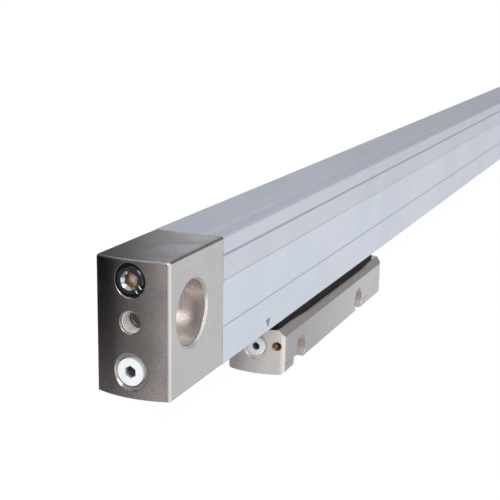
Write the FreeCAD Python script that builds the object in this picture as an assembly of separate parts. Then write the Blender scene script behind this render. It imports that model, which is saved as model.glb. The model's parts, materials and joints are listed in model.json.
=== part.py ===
import FreeCAD, Part
import math
import os

# Sealed linear glass scale: a glass graduation inside a long housing, an end
# block at each end, and a scanning unit that slides along underneath.
# Frame: origin on the near mounting bore's axis, in the rear mounting plane.
# +X runs along the scale, -Y is the side that is seen, +Z is up.

# Lengths along the scale
measuring_length = 370.0
bore_to_limit = 58.0
rest_from_limit = 42.1

# End block
block_nose = 12.0
block_back = 16.2
block_depth = 17.8
block_above_bore = 13.75
block_below_bore = 17.1
block_bulge = 1.7
block_edge_round = 1.0
block_rear_round = 0.2
block_top_chamfer = 0.5
block_face_round = 0.65
block_low_round = 0.2
face_line_y = -8.9

# Mounting bore
bore_radius = 3.3
counterbore_radius = 7.4
counterbore_depth = 5.9
counterbore_chamfer = 0.5

# Front face of the end block
screw_height = 9.1
screw_radius = 2.0
screw_head_radius = 3.25
screw_head_bevel = 0.3
screw_head_height = 4.0
screw_socket_across = 3.0
screw_socket_depth = 2.6
screw_dish_radius = 2.15
screw_recess_radius = 3.65
screw_recess_chamfer = 0.3
screw_hold = 11.0
seal_ring_height = 1.0
accessory_height = -0.1
accessory_radius = 2.5
accessory_depth = 5.2
accessory_chamfer = 0.2
plug_height = -11.15
plug_head_radius = 3.1
plug_head_height = 1.6
plug_shank_radius = 2.45
plug_shank_length = 7.5
plug_socket_across = 2.5
plug_socket_depth = 2.4
plug_cone_radius = 4.35
plug_cone_depth = 1.3
air_way_radius = 1.6
o_ring_thickness = 0.9

# Gasket and locating tongue
gasket_thickness = 0.4
gasket_inset = 0.7
gasket_round = 0.6
tongue_length = 8.0
tongue_clearance = 0.15
tongue_reach = 3.0

# Housing profile
housing_proud = 0.15
housing_set_back = 0.2
front_wall = 1.8
rear_wall = 1.5
floor_wall = 2.2
roof_wall = 2.4
line_upper = 9.3
line_width = 0.7
line_depth = 0.45
field_top = 3.4
field_bottom = -8.0
field_depth = 0.22
shoulder_lean = 0.35
top_step = 0.45
top_step_y = -13.4
top_groove_width = 0.9
top_groove_depth = 0.35
top_edge_round = 0.3
housing_edge_round = 0.5
blade_slot_half = 3.0
lip_groove_depth = 1.6
lip_groove_height = 1.2
lip_groove_above = 0.6
carrier_front_y = -12.4
carrier_bottom = 6.8
channel_slit = 1.2
channel_clearance = 0.05

# Glass scale and its adhesive
glass_thickness = 2.0
glass_height = 14.0
glass_front_y = -5.9
glass_top = 11.0
glass_short = 10.5
adhesive_side = 0.3
adhesive_top = 0.3

# Sealing lips
lip_fit = 0.05
lip_tongue = 0.7
lip_overhang = 0.3
lip_to_blade = 0.3

# Scanning unit's mounting block
unit_half_length = 47.1
unit_front_y = -18.7
unit_back_y = -2.2
unit_top = -20.0
unit_waist_top = -20.65
unit_bottom = -32.6
unit_end_radius = 20.0
unit_end_axis_y = -10.0
unit_front_round = 1.7
unit_back_round = 1.2
unit_low_round = 1.3
unit_chamfer_drop = 2.0
unit_chamfer_run = 1.6
hump_near = 35.9
hump_far = 38.0
ramp_near = 13.0
ramp_far = 8.0
unit_hole_spacing = 53.0
unit_hole_offset = -6.0
unit_hole_height = -28.6
unit_hole_radius = 2.25
unit_pocket_radius = 3.7
unit_pocket_depth = 5.0
chamber_half_length = 18.5
chamber_front_wall = 3.0
chamber_back_wall = 2.6
chamber_roof = -24.6

# Bottom cover
cover_thickness = 2.7
cover_gap = 0.2
near_foot_inset = 3.0
far_foot_inset = 16.0
foot_length = 6.0
apron_thickness = 2.2
apron_lift = 0.85
apron_notch_length = 4.6
cover_screw_radius = 1.0
cover_screw_head = 1.9
cover_screw_length = 4.2
cover_screw_offset = 4.2
cover_screw_head_height = 1.0
cover_pocket_lip = 1.5
cover_plate_thickness = 1.2

# End faces of the mounting block
unit_plug_y = -11.0
unit_plug_height = -24.95
unit_plug_head_radius = 2.6
unit_plug_head_height = 1.5
unit_plug_shank_radius = 2.0
unit_plug_shank_length = 5.0
unit_plug_cone_radius = 3.75
unit_plug_cone_depth = 1.2
unit_plug_socket_across = 2.0
unit_way_radius = 1.0
bush_y = -16.6
bush_height = -24.6
bush_radius = 1.2
bush_bore = 0.95
bush_length = 5.0
inlet_radius = 3.6
inlet_bore = 2.9
inlet_chamber = 2.3
inlet_length = 5.5
inlet_hold = 2.5
contact_half = 0.25
contact_length = 2.6
contact_circle = 1.6
contact_count = 6

# Top seal of the mounting block
top_seal_height = 1.9
top_seal_inset = 0.35
top_seal_back_inset = 0.8
top_seal_far_inset = 7.0
top_seal_seat = 0.5
top_seal_slot_half_length = 24.0
top_seal_slot_half_width = 3.8

# Blade
blade_thickness = 1.2
blade_half_length = 20.0
blade_point_length = 8.0
blade_point_width = 0.3
blade_top = -12.6
blade_foot_height = 2.0
blade_foot_half_width = 3.5
blade_foot_half_length = 17.0
blade_screw_x = 13.5
blade_screw_y = 2.1
blade_screw_radius = 0.8
blade_screw_head = 1.2
blade_screw_head_height = 0.8
blade_screw_length = 3.3
fit_gap = 0.05
seat_gap = 0.2

# Flat lead
lead_x = 5.5
lead_half_width = 2.0
lead_below_carriage = 1.1
lead_thickness = 0.25

# Scanning carriage
carriage_half_length = 26.0
carriage_bottom = -11.0
carriage_base_top = -8.4
carriage_top = 6.4
carriage_pocket = (8.5, 16.0)
carriage_pocket_depth = 3.0
front_leg_y = -14.0
leg_to_glass = 0.5
rear_leg_thickness = 1.4
optic_height = 3.6
optic_bore = 2.4
board_thickness = 0.8
led_board_half_length = 7.5
led_board_half_height = 2.7
emitter_radius = 1.2
emitter_flange = 1.5
emitter_flange_height = 0.6
emitter_height = 3.2
lens_y = -9.6
lens_thickness = 1.8
lens_bulge = 0.7
reticle_half_length = 4.0
reticle_half_height = 2.4
reticle_thickness = 0.9
sensor_half_length = 3.6
sensor_half_height = 1.8
sensor_thickness = 0.5
sensor_board_half_length = 5.0
sensor_board_half_height = 2.5

# Rollers
roller_radius = 2.5
roller_width = 2.0
roller_gap = 0.05
hub_radius = 1.5
axle_radius = 0.7
axle_overhang = 1.1
notch_clearance = 0.4
notch_side_gap = 0.3
upper_roller_inset = 6.0
upper_roller_z = 3.9
lower_roller_z = -1.5
edge_roller_inset = 12.0

# Coupling between blade and carriage
pin_radius = 0.6
pin_slot_depth = 1.5
pin_hold = 1.8
spring_x = -9.0
spring_half_length = 5.0
spring_thickness = 0.25
spring_half_width = 1.4

# Interface board
board_inset = 0.8
board_height = -28.4
interface_thickness = 1.2
post_radius = 1.3
post_inset = 2.6

V = FreeCAD.Vector
ALONG = V(1, 0, 0)
ACROSS = V(0, 1, 0)
UP = V(0, 0, 1)

# Places worked out from the sizes above
bore_spacing = measuring_length + 2 * bore_to_limit
middle_x = bore_spacing / 2
unit_x = bore_to_limit + rest_from_limit

housing_front = -block_depth - housing_proud
housing_rear = -housing_set_back
housing_top = block_above_bore + housing_proud
housing_bottom = -block_below_bore - housing_proud
housing_start = block_back
housing_end = bore_spacing - housing_start
slot_y = (housing_front + housing_rear) / 2
cavity_front = housing_front + front_wall
cavity_rear = housing_rear - rear_wall
cavity_floor = housing_bottom + floor_wall
cavity_ceiling = housing_top - roof_wall
channel_radius = screw_radius + channel_clearance
tongue_rear = carrier_front_y + tongue_reach

glass_rear_y = glass_front_y + glass_thickness
glass_bottom = glass_top - glass_height
glass_start = housing_start + glass_short
glass_end = housing_end - glass_short

unit_label_top = unit_top - unit_chamfer_drop
unit_near_hole_x = unit_x + unit_hole_offset - unit_hole_spacing / 2
unit_far_hole_x = unit_x + unit_hole_offset + unit_hole_spacing / 2
near_foot = unit_x - unit_half_length + near_foot_inset
far_foot = unit_x + unit_half_length - far_foot_inset - foot_length
cover_top = unit_bottom + cover_thickness
chamber_front = unit_front_y + chamber_front_wall
chamber_back = unit_back_y - chamber_back_wall
blade_foot_low = unit_waist_top - blade_foot_height

front_leg_face = glass_front_y - leg_to_glass
rear_leg_face = glass_rear_y + leg_to_glass
face_roller_y = glass_front_y - roller_radius - roller_gap
edge_roller_z = glass_bottom - roller_radius - roller_gap
glass_middle_y = (glass_front_y + glass_rear_y) / 2


def brick(x, y, z):
    """Box between three (low, high) pairs."""
    return Part.makeBox(x[1] - x[0], y[1] - y[0], z[1] - z[0], V(x[0], y[0], z[0]))


def span(centre, half):
    """The (low, high) pair of a size centred on a place."""
    return (centre - half, centre + half)


def rod_x(x, y, z, radius):
    return Part.makeCylinder(radius, x[1] - x[0], V(x[0], y, z), ALONG)


def rod_y(x, y, z, radius):
    return Part.makeCylinder(radius, y[1] - y[0], V(x, y[0], z), ACROSS)


def rod_z(x, y, z, radius):
    return Part.makeCylinder(radius, z[1] - z[0], V(x, y, z[0]), UP)


def cone_x(x, y, z, start_radius, end_radius):
    return Part.makeCone(start_radius, end_radius, x[1] - x[0], V(x[0], y, z), ALONG)


def hexagon_x(x, y, z, across):
    """Hexagonal prism along X, with two corners up and down."""
    corner = across / math.sqrt(3)
    angles = [math.radians(30 + 60 * step) for step in range(7)]
    points = [V(x[0], y + corner * math.cos(a), z + corner * math.sin(a)) for a in angles]
    return Part.Face(Part.makePolygon(points)).extrude(V(x[1] - x[0], 0, 0))


def rounded_face(corners, place):
    """Face inside 2-D corners (a, b, radius); place turns (a, b) into a point."""
    edges = []
    arcs = []
    for index, (a, b, radius) in enumerate(corners):
        here = V(a, b, 0)
        before = V(*corners[index - 1][:2], 0) - here
        after = V(*corners[(index + 1) % len(corners)][:2], 0) - here
        half = before.getAngle(after) / 2
        before.normalize()
        after.normalize()
        inward = before + after
        if radius > 0:
            inward.normalize()
        reach = radius / math.tan(half)
        middle = here + inward * (radius / math.sin(half) - radius) if radius > 0 else here
        arcs.append((here + before * reach, middle, here + after * reach, radius))
    for index, (start, middle, end, radius) in enumerate(arcs):
        if radius > 0:
            points = [place(p.x, p.y) for p in (start, middle, end)]
            edges.append(Part.Arc(*points).toShape())
        following = arcs[(index + 1) % len(arcs)][0]
        if (following - end).Length > 1e-6:
            edges.append(Part.makeLine(place(end.x, end.y), place(following.x, following.y)))
    return Part.Face(Part.Wire(edges))


def prism_x(corners, x):
    """Rounded YZ outline drawn out along X."""
    return rounded_face(corners, lambda a, b: V(x[0], a, b)).extrude(V(x[1] - x[0], 0, 0))


def prism_y(corners, y):
    """Rounded XZ outline drawn out along Y."""
    return rounded_face(corners, lambda a, b: V(a, y[0], b)).extrude(V(0, y[1] - y[0], 0))


def prism_z(corners, z):
    """Rounded XY outline drawn out along Z."""
    return rounded_face(corners, lambda a, b: V(a, b, z[0])).extrude(V(0, 0, z[1] - z[0]))


def mirrored(shape):
    """The same piece at the far end of the scale."""
    return shape.mirror(V(middle_x, 0, 0), ALONG)


def end_plan(near, bulge_y, back_x, y, z):
    """Block outline with one round end: near is the apex, back_x the flat end."""
    corner_front = V(near(y[0]), y[0], z[0])
    corner_rear = V(near(y[1]), y[1], z[0])
    apex = V(near(bulge_y), bulge_y, z[0])
    edges = [Part.Arc(corner_front, apex, corner_rear).toShape(),
             Part.makeLine(corner_rear, V(back_x, y[1], z[0])),
             Part.makeLine(V(back_x, y[1], z[0]), V(back_x, y[0], z[0])),
             Part.makeLine(V(back_x, y[0], z[0]), corner_front)]
    return Part.Face(Part.Wire(edges)).extrude(V(0, 0, z[1] - z[0]))


def uprights_at(shape, y):
    """The two outermost straight upright edges at a given Y."""
    found = []
    for edge in shape.Edges:
        box = edge.BoundBox
        if box.XLength < 1e-6 and box.YLength < 1e-6 and abs(box.YMin - y) < 1e-6:
            found.append(edge)
    found.sort(key=lambda edge: edge.BoundBox.XMin)
    return [found[0], found[-1]]


def top_rim_edges(shape, top_z, back_x):
    """Edges of the top plane, without the straight one at the back."""
    found = []
    for edge in shape.Edges:
        box = edge.BoundBox
        if box.ZLength < 1e-6 and abs(box.ZMax - top_z) < 1e-6 and box.XMin < back_x - 1e-3:
            found.append(edge)
    return found


def block_arc(y):
    """X of the end block's curved front face at a given Y."""
    half = block_depth / 2
    radius = (half ** 2 + block_bulge ** 2) / (2 * block_bulge)
    return -block_nose + radius - math.sqrt(radius ** 2 - (y + half) ** 2)


def end_block():
    y = (-block_depth, 0)
    z = (-block_below_bore, block_above_bore)
    body = end_plan(block_arc, -block_depth / 2, block_back, y, z)
    body = body.makeFillet(block_edge_round, uprights_at(body, y[0])[:1])
    body = body.makeFillet(block_rear_round, uprights_at(body, y[1])[:1])
    body = body.makeFillet(block_face_round, top_rim_edges(body, z[1], block_back))
    section = prism_x([(y[0], z[0], block_low_round),
                       (y[0], z[1] - block_top_chamfer, 0),
                       (y[0] + block_top_chamfer, z[1], 0),
                       (y[1], z[1], 0),
                       (y[1], z[0], block_low_round)], (-block_nose - 1, block_back + 1))
    body = body.common(section)
    recess = gasket_sheet(gasket_inset - fit_gap)
    body = body.cut(recess).fuse(locating_tongue())

    floor_y = -block_depth + counterbore_depth
    body = body.cut(rod_y(0, (floor_y, 1), 0, bore_radius).fuse(
        rod_y(0, (-block_depth - 1, floor_y), 0, counterbore_radius)))
    rim = Part.makeCone(counterbore_radius + 2 * counterbore_chamfer, counterbore_radius,
                        2 * counterbore_chamfer, V(0, -block_depth - counterbore_chamfer, 0), ACROSS)
    body = body.cut(rim)
    for tool in face_cuts():
        body = body.cut(tool)
    return body.removeSplitter()


def locating_tongue():
    """Tongue that centres the block in the housing's cavity."""
    return brick((block_back - 1, block_back + tongue_length),
                 (cavity_front + tongue_clearance, tongue_rear),
                 (cavity_floor + tongue_clearance, carrier_bottom - tongue_clearance))


def face_cuts():
    """Screw hole, accessory thread and air inlet in the curved front face."""
    apex = -block_nose
    beyond = block_back + tongue_length + 1
    seat = apex + screw_head_height + 0.4
    yield rod_x((apex - 1, seat), face_line_y, screw_height, screw_recess_radius)
    yield rod_x((apex, beyond), face_line_y, screw_height, screw_radius + 2 * channel_clearance)
    yield cone_x((apex - screw_recess_chamfer, apex + screw_recess_chamfer), face_line_y,
                 screw_height, screw_recess_radius + 2 * screw_recess_chamfer, screw_recess_radius)

    hole_end = apex + accessory_depth
    yield rod_x((apex - 1, hole_end), face_line_y, accessory_height, accessory_radius)
    yield cone_x((apex - accessory_chamfer, apex + accessory_chamfer), face_line_y, accessory_height,
                 accessory_radius + 2 * accessory_chamfer, accessory_radius)

    yield cone_x((apex - plug_cone_depth, apex + plug_cone_depth), face_line_y, plug_height,
                 2 * plug_cone_radius - plug_head_radius, plug_head_radius + fit_gap)
    head_seat = apex + plug_head_height + seat_gap + o_ring_thickness
    yield rod_x((apex, head_seat), face_line_y, plug_height, plug_head_radius + fit_gap)
    shank_end = head_seat + plug_shank_length + 1
    yield rod_x((apex, shank_end), face_line_y, plug_height, plug_shank_radius + fit_gap)
    yield rod_x((apex, beyond), face_line_y, plug_height, air_way_radius)


def block_screw():
    apex = -block_nose
    bevel_end = apex + screw_head_bevel
    bevel = cone_x((apex, bevel_end), face_line_y, screw_height,
                   screw_head_radius - screw_head_bevel, screw_head_radius)
    head = bevel.fuse(rod_x((bevel_end, apex + screw_head_height), face_line_y, screw_height,
                            screw_head_radius))
    tip = housing_start + screw_hold
    shank = rod_x((apex + 1, tip), face_line_y, screw_height, screw_radius)
    body = head.fuse(shank)
    dish_depth = screw_dish_radius - screw_socket_across / 2
    body = body.cut(cone_x((apex - 0.001, apex + dish_depth), face_line_y, screw_height,
                           screw_dish_radius, screw_socket_across / 2))
    return body.cut(hexagon_x((apex - 0.001, apex + screw_socket_depth), face_line_y,
                              screw_height, screw_socket_across))


def screw_seal_ring():
    """Black ring that fills the recess round the screw's head."""
    start = -block_nose + 0.45
    x = (start, start + seal_ring_height)
    ring = rod_x(x, face_line_y, screw_height, screw_recess_radius - fit_gap)
    return ring.cut(rod_x(x, face_line_y, screw_height, screw_head_radius + fit_gap))


def hex_plug(apex, y, z, head_radius, head_height, shank_radius, shank_length, across, o_ring):
    """Screwed plug with a flush flat head and a hexagon socket."""
    neck = apex + head_height
    body = rod_x((apex, neck), y, z, head_radius)
    body = body.fuse(rod_x((neck - 0.5, neck + o_ring + shank_length), y, z, shank_radius))
    return body.cut(hexagon_x((apex - 0.001, apex + plug_socket_depth), y, z, across))


def air_plug():
    return hex_plug(-block_nose + 0.1, face_line_y, plug_height, plug_head_radius,
                    plug_head_height, plug_shank_radius, plug_shank_length,
                    plug_socket_across, o_ring_thickness)


def air_plug_ring():
    """O-ring under the plug's head."""
    start = -block_nose + 0.1 + plug_head_height
    tube = (plug_head_radius - plug_shank_radius - 2 * fit_gap) / 2
    x = (start, start + o_ring_thickness)
    outer = rod_x(x, face_line_y, plug_height, plug_shank_radius + fit_gap + 2 * tube)
    return outer.cut(rod_x(x, face_line_y, plug_height, plug_shank_radius + fit_gap))


def gasket_sheet(inset):
    """Flat sheet at the block's back, drawn in from the block's outline."""
    x = (block_back - gasket_thickness, block_back)
    y = (-block_depth + inset, -inset)
    z = (-block_below_bore + inset, block_above_bore - inset)
    corners = [(y[0], z[0]), (y[0], z[1]), (y[1], z[1]), (y[1], z[0])]
    return prism_x([(a, b, gasket_round) for a, b in corners], x)


def end_gasket():
    """Seal between block and housing, in a recess of the block's back."""
    x = (block_back - gasket_thickness, block_back)
    window = brick(x, (cavity_front, tongue_rear + tongue_clearance), (cavity_floor, carrier_bottom))
    screw_room = rod_x(x, face_line_y, screw_height, channel_radius + seat_gap)
    return gasket_sheet(gasket_inset).cut(window).cut(screw_room)


def housing_profile():
    """Extruded housing: stepped front, cavity, glass slot, screw channel, lip grooves."""
    x = (housing_start, housing_end)
    front, rear, top, low = housing_front, housing_rear, housing_top, housing_bottom
    field = front + field_depth
    line = line_width / 2
    shoulder = front + shoulder_lean
    land = top - top_step
    groove = top_step_y - top_groove_width
    outline = [(front, low, housing_edge_round),
               (front, field_bottom, 0),
               (field, field_bottom + field_depth, 0),
               (field, field_top - field_depth, 0),
               (front, field_top, 0),
               (front, line_upper - line, 0),
               (front + line_depth, line_upper, 0),
               (front, line_upper + line, 0),
               (shoulder, land, housing_edge_round),
               (groove - top_groove_width, land, 0),
               (groove, land - top_groove_depth, 0),
               (top_step_y, land - top_groove_depth, 0),
               (top_step_y, top, top_edge_round),
               (rear, top, housing_edge_round),
               (rear, low, housing_edge_round)]
    body = prism_x(outline, x)
    cavity = [(cavity_front, cavity_floor, 0.5),
              (cavity_front, cavity_ceiling, 0.8),
              (carrier_front_y, cavity_ceiling, 0.5),
              (carrier_front_y, carrier_bottom, 0),
              (cavity_rear, carrier_bottom, 0.3),
              (cavity_rear, cavity_floor, 0.5)]
    body = body.cut(prism_x(cavity, x))
    slot_z = (housing_bottom - 1, cavity_floor + 1)
    body = body.cut(brick(x, span(slot_y, blade_slot_half), slot_z))
    groove_z = (low + lip_groove_above, low + lip_groove_above + lip_groove_height)
    body = body.cut(brick(x, span(slot_y, blade_slot_half + lip_groove_depth), groove_z))
    body = body.cut(rod_x(x, face_line_y, screw_height, channel_radius))
    body = body.cut(brick(x, span(face_line_y, channel_slit / 2), (carrier_bottom - 1, screw_height)))
    glass_y = (glass_front_y - adhesive_side, glass_rear_y + adhesive_side)
    return body.cut(brick(x, glass_y, (carrier_bottom - 1, glass_top + adhesive_top)))


def glass_scale():
    return brick((glass_start, glass_end), (glass_front_y, glass_rear_y), (glass_bottom, glass_top))


def scale_adhesive():
    """Elastic seam round the glass's upper edge, inside the slot."""
    outer = brick((glass_start, glass_end),
                  (glass_front_y - adhesive_side, glass_rear_y + adhesive_side),
                  (carrier_bottom + 0.2, glass_top + adhesive_top))
    return outer.cut(glass_scale())


def sealing_lip(side):
    """Rubber lip: side is -1 for the front one, +1 for the rear one."""
    root_z = (housing_bottom + lip_groove_above + lip_fit,
              housing_bottom + lip_groove_above + lip_groove_height - lip_fit)
    root = blade_slot_half + lip_groove_depth - lip_fit
    mouth = blade_slot_half - 0.3
    tip = blade_thickness / 2 + lip_to_blade
    tip_z = housing_bottom - lip_overhang
    outline = [(root, root_z[0], 0), (root, root_z[1], 0), (mouth, root_z[1], 0.2),
               (tip, tip_z + lip_tongue, 0.1), (tip, tip_z, 0.1),
               (mouth, root_z[0], 0.2)]
    corners = [(slot_y + side * a, b, r) for a, b, r in outline]
    return prism_x(corners, (housing_start, housing_end))


def unit_arc(y, side):
    """X of the mounting block's curved end at a given Y; side -1 near, +1 far."""
    sag = unit_end_radius - math.sqrt(unit_end_radius ** 2 - (y - unit_end_axis_y) ** 2)
    return unit_x + side * (unit_half_length - sag)


def unit_plan(z, front_inset=0, back_inset=0, end_inset=0):
    """Plan of the mounting block between two heights, drawn in by its insets."""
    y = (unit_front_y + front_inset, unit_back_y - back_inset)
    points = {}
    for side in (-1, 1):
        for name, place in (("front", y[0]), ("axis", unit_end_axis_y), ("back", y[1])):
            points[side, name] = V(unit_arc(place, side) - side * end_inset, place, z[0])
    edges = [Part.Arc(points[-1, "front"], points[-1, "axis"], points[-1, "back"]).toShape(),
             Part.makeLine(points[-1, "back"], points[1, "back"]),
             Part.Arc(points[1, "back"], points[1, "axis"], points[1, "front"]).toShape(),
             Part.makeLine(points[1, "front"], points[-1, "front"])]
    body = Part.Face(Part.Wire(edges)).extrude(V(0, 0, z[1] - z[0]))
    body = body.makeFillet(unit_front_round, uprights_at(body, y[0]))
    return body.makeFillet(unit_back_round, uprights_at(body, y[1]))


def unit_envelope():
    """Outside of the mounting block and its bottom cover together."""
    body = unit_plan((unit_bottom, unit_top))
    x = span(unit_x, unit_half_length + 1)
    section = [(unit_front_y, unit_bottom, unit_low_round),
               (unit_front_y, unit_label_top, 0),
               (unit_front_y + unit_chamfer_run, unit_top, 0),
               (unit_back_y, unit_top, 0.4),
               (unit_back_y, unit_bottom, unit_low_round)]
    body = body.common(prism_x(section, x))
    side_view = [(x[0], unit_bottom - 1, 0),
                 (x[0], unit_top, 0),
                 (unit_x - hump_near, unit_top, 0),
                 (unit_x - hump_near + ramp_near, unit_waist_top, 0),
                 (unit_x + hump_far - ramp_far, unit_waist_top, 0),
                 (unit_x + hump_far, unit_top, 0),
                 (x[1], unit_top, 0),
                 (x[1], unit_bottom - 1, 0)]
    return body.common(prism_y(side_view, (unit_front_y - 1, unit_back_y + 1)))


def cover_space(gap):
    """Room that the bottom cover takes in the block's underside."""
    foot_z = (unit_bottom - 1, cover_top + gap)
    plate_z = (unit_bottom - 1, unit_bottom + cover_plate_thickness + gap)
    y = (unit_front_y - 1, unit_back_y + 1)
    feet = [brick((start - gap, start + foot_length + gap), y, foot_z)
            for start in (near_foot, far_foot)]
    bridge = brick((near_foot + foot_length - 1, far_foot + 1),
                   (unit_front_y + unit_pocket_depth + cover_pocket_lip - gap, y[1]), plate_z)
    half = unit_hole_spacing / 2 - unit_pocket_radius - cover_pocket_lip + gap
    window = brick(span(unit_x + unit_hole_offset, half),
                   (unit_front_y + apron_thickness - gap, y[1]), plate_z)
    return feet[0].fuse(feet[1]).fuse(bridge).fuse(window)


def apron_room():
    """Room under the block's apron between the feet, higher beside the near foot."""
    start = near_foot + foot_length
    front = unit_front_y - 1
    low = unit_bottom - 1
    lift = brick((start, far_foot), (front, unit_front_y + unit_pocket_depth + cover_pocket_lip),
                 (low, unit_bottom + apron_lift))
    notch = brick((start, start + apron_notch_length), (front, unit_front_y + apron_thickness),
                  (low, cover_top + cover_gap))
    return lift.fuse(notch)


def chamber():
    """Hollow of the mounting block that holds the interface board."""
    return brick(span(unit_x + unit_hole_offset, chamber_half_length),
                 (chamber_front, chamber_back), (unit_bottom - 1, chamber_roof))


def unit_body():
    body = unit_envelope().cut(cover_space(cover_gap)).cut(chamber()).cut(apron_room())
    for tool in unit_hole_cuts():
        body = body.cut(tool)
    for x, y in board_posts():
        body = body.fuse(rod_z(x, y, (board_height + interface_thickness, chamber_roof + 0.5),
                               post_radius))
    return body.removeSplitter()


def unit_hole_cuts():
    """Mounting holes, end-face fittings, blade seat and screw holes of the block."""
    floor_y = unit_front_y + unit_pocket_depth
    for hole_x in (unit_near_hole_x, unit_far_hole_x):
        yield rod_y(hole_x, (unit_front_y - 1, floor_y), unit_hole_height, unit_pocket_radius)
        yield rod_y(hole_x, (floor_y - 1, unit_back_y + 1), unit_hole_height, unit_hole_radius)

    apex = unit_x - unit_half_length
    far_apex = unit_x + unit_half_length
    y, z = unit_plug_y, unit_plug_height
    yield cone_x((apex - unit_plug_cone_depth, apex + unit_plug_cone_depth), y, z,
                 2 * unit_plug_cone_radius - unit_plug_head_radius,
                 unit_plug_head_radius + fit_gap)
    seat = apex + unit_plug_head_height + seat_gap
    yield rod_x((apex, seat), y, z, unit_plug_head_radius + fit_gap)
    shank_end = seat + unit_plug_shank_length + 1
    yield rod_x((apex, shank_end), y, z, unit_plug_shank_radius + fit_gap)
    yield rod_x((far_apex - inlet_length - 1, far_apex + 1), y, z, inlet_radius + fit_gap)
    chamber_x = span(unit_x + unit_hole_offset, chamber_half_length)
    yield rod_x((apex, chamber_x[0] + 1), y, z, unit_way_radius)
    yield rod_x((chamber_x[1] - 1, far_apex), y, z, unit_way_radius)

    bush_start = unit_arc(bush_y, -1)
    yield rod_x((bush_start - 2, bush_start + bush_length + 0.5), bush_y, bush_height,
                bush_radius + fit_gap)

    yield brick(span(unit_x, blade_foot_half_length + fit_gap),
                span(slot_y, blade_foot_half_width + fit_gap), (blade_foot_low, unit_top))
    for screw_x, screw_y in blade_screw_places():
        low = unit_waist_top - blade_screw_length - 0.2
        yield rod_z(screw_x, screw_y, (low, unit_top), blade_screw_radius + fit_gap)
    yield brick(span(unit_x + lead_x, lead_half_width + seat_gap),
                (slot_y - blade_thickness / 2 - seat_gap, slot_y), (chamber_roof - 1, unit_top))
    for screw_x, screw_y in cover_screw_places():
        depth = (unit_bottom, unit_bottom + cover_screw_length + 0.5)
        yield rod_z(screw_x, screw_y, depth, cover_screw_radius + fit_gap)


def board_posts():
    """Two posts that the interface board hangs from."""
    middle_y = (chamber_front + chamber_back) / 2
    for x in span(unit_x + unit_hole_offset, chamber_half_length - board_inset - post_inset):
        yield x, middle_y


def interface_board():
    x = span(unit_x + unit_hole_offset, chamber_half_length - board_inset)
    return brick(x, (chamber_front + board_inset, chamber_back - board_inset),
                 (board_height, board_height + interface_thickness))


def cover_screw_places():
    """One screw in each foot of the bottom cover, behind the end-face fittings."""
    y = (unit_front_y + unit_back_y) / 2 + cover_screw_offset
    for start in (near_foot, far_foot):
        yield start + foot_length / 2, y


def unit_bottom_cover():
    body = unit_envelope().common(cover_space(0))
    for x, y in cover_screw_places():
        head_z = (unit_bottom - 1, unit_bottom + cover_screw_head_height + fit_gap)
        body = body.cut(rod_z(x, y, head_z, cover_screw_head + fit_gap))
        body = body.cut(rod_z(x, y, (unit_bottom, cover_top + 1), cover_screw_radius + fit_gap))
    return body.removeSplitter()


def cover_screws():
    """Two cylinder-head screws, their heads flush with the cover's underside."""
    screws = []
    for x, y in cover_screw_places():
        head_top = unit_bottom + cover_screw_head_height
        head = rod_z(x, y, (unit_bottom, head_top), cover_screw_head)
        shank = rod_z(x, y, (head_top, unit_bottom + cover_screw_length), cover_screw_radius)
        screws.append(head.fuse(shank))
    return Part.makeCompound(screws)


def unit_top_seal():
    """Black pad on the mounting block's top, open round the blade."""
    z = (unit_waist_top - top_seal_seat, unit_top + top_seal_height)
    pad = unit_plan(z, unit_chamfer_run + top_seal_inset, top_seal_back_inset, top_seal_inset)
    pad = pad.cut(unit_envelope())
    slot = brick(span(unit_x, top_seal_slot_half_length),
                 span(slot_y, top_seal_slot_half_width), (z[0] - 1, z[1] + 1))
    far_room = brick((unit_x + unit_half_length - top_seal_far_inset, unit_x + unit_half_length),
                     (unit_front_y, unit_back_y), (z[0] - 1, z[1] + 1))
    return pad.cut(slot).cut(far_room)


def unit_plug():
    return hex_plug(unit_x - unit_half_length + 0.1, unit_plug_y, unit_plug_height,
                    unit_plug_head_radius, unit_plug_head_height, unit_plug_shank_radius,
                    unit_plug_shank_length, unit_plug_socket_across, 0)


def thread_bush():
    """Brass bush of the small threaded hole in the near end face."""
    start = unit_arc(bush_y - bush_radius, -1) + 0.15
    x = (start, unit_arc(bush_y, -1) + bush_length)
    return rod_x(x, bush_y, bush_height, bush_radius).cut(rod_x(x, bush_y, bush_height, bush_bore))


def cable_inlet():
    """Sleeve of the cable inlet: a chamber for the contacts and a wider mouth."""
    far_apex = unit_x + unit_half_length
    x = (far_apex - inlet_length - 1, far_apex - seat_gap)
    body = rod_x(x, unit_plug_y, unit_plug_height, inlet_radius)
    body = body.cut(rod_x((x[0] + 1, x[1]), unit_plug_y, unit_plug_height, inlet_chamber))
    return body.cut(rod_x((x[1] - inlet_hold, x[1]), unit_plug_y, unit_plug_height, inlet_bore))


def inlet_contacts():
    """Square contact pins that stand on the inlet's floor."""
    floor_x = unit_x + unit_half_length - inlet_length
    pins = []
    for step in range(contact_count):
        angle = 2 * math.pi * step / contact_count
        y = unit_plug_y + contact_circle * math.cos(angle)
        z = unit_plug_height + contact_circle * math.sin(angle)
        pins.append(brick((floor_x, floor_x + contact_length), span(y, contact_half),
                          span(z, contact_half)))
    return Part.makeCompound(pins)


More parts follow.
